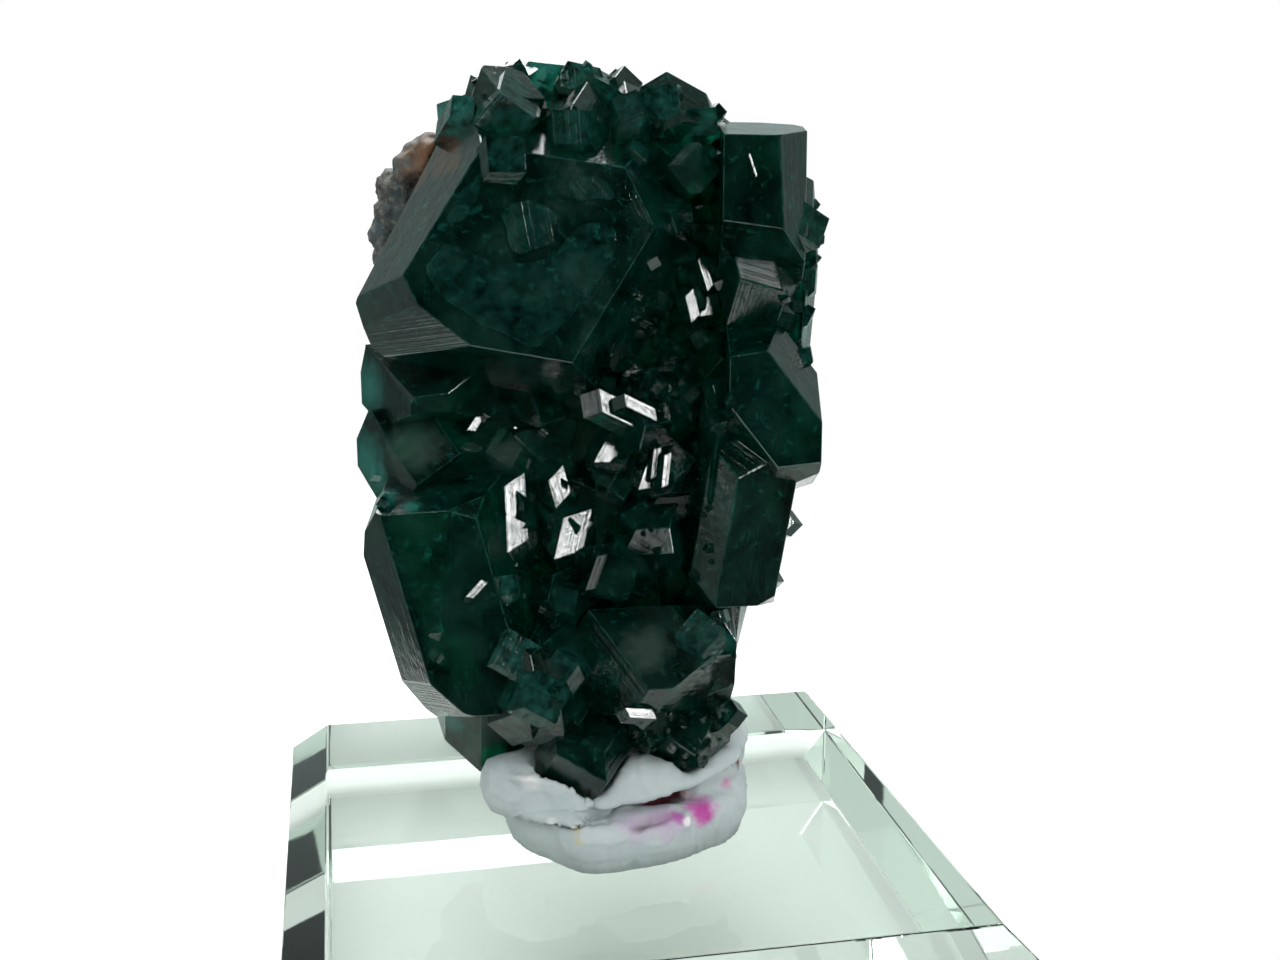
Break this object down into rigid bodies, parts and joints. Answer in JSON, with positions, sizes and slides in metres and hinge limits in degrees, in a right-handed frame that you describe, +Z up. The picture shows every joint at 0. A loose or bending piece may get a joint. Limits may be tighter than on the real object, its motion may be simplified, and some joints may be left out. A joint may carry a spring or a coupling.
{
  "type": "dioptase mineral specimen on a display block",
  "caption": "Upright cluster of intergrown dark green dioptase crystals, held by folded mineral putty on a clear bevelled display block.",
  "frame": {"origin": "centre of the underside of the display block", "axes": "+Z up through the cluster, +X to the right along the block's front edge, +Y to the back"},
  "size_m": [0.04, 0.04, 0.0605],
  "materials": {
    "dioptase": "deep green, see-through at thin edges, glassy faces with fine growth steps",
    "host_rock": "rough brown and blue-grey rock crust",
    "mineral_putty": "soft matte pale blue-grey putty with folds and a faint pink stain",
    "clear_block": "clear polished block with a faint green tint and bevelled edges"
  },
  "bodies": {
    "root": {"dioptase_crystals": "dioptase", "matrix": "host_rock", "putty": "mineral_putty", "display_block": "clear_block"}
  },
  "joints": []
}
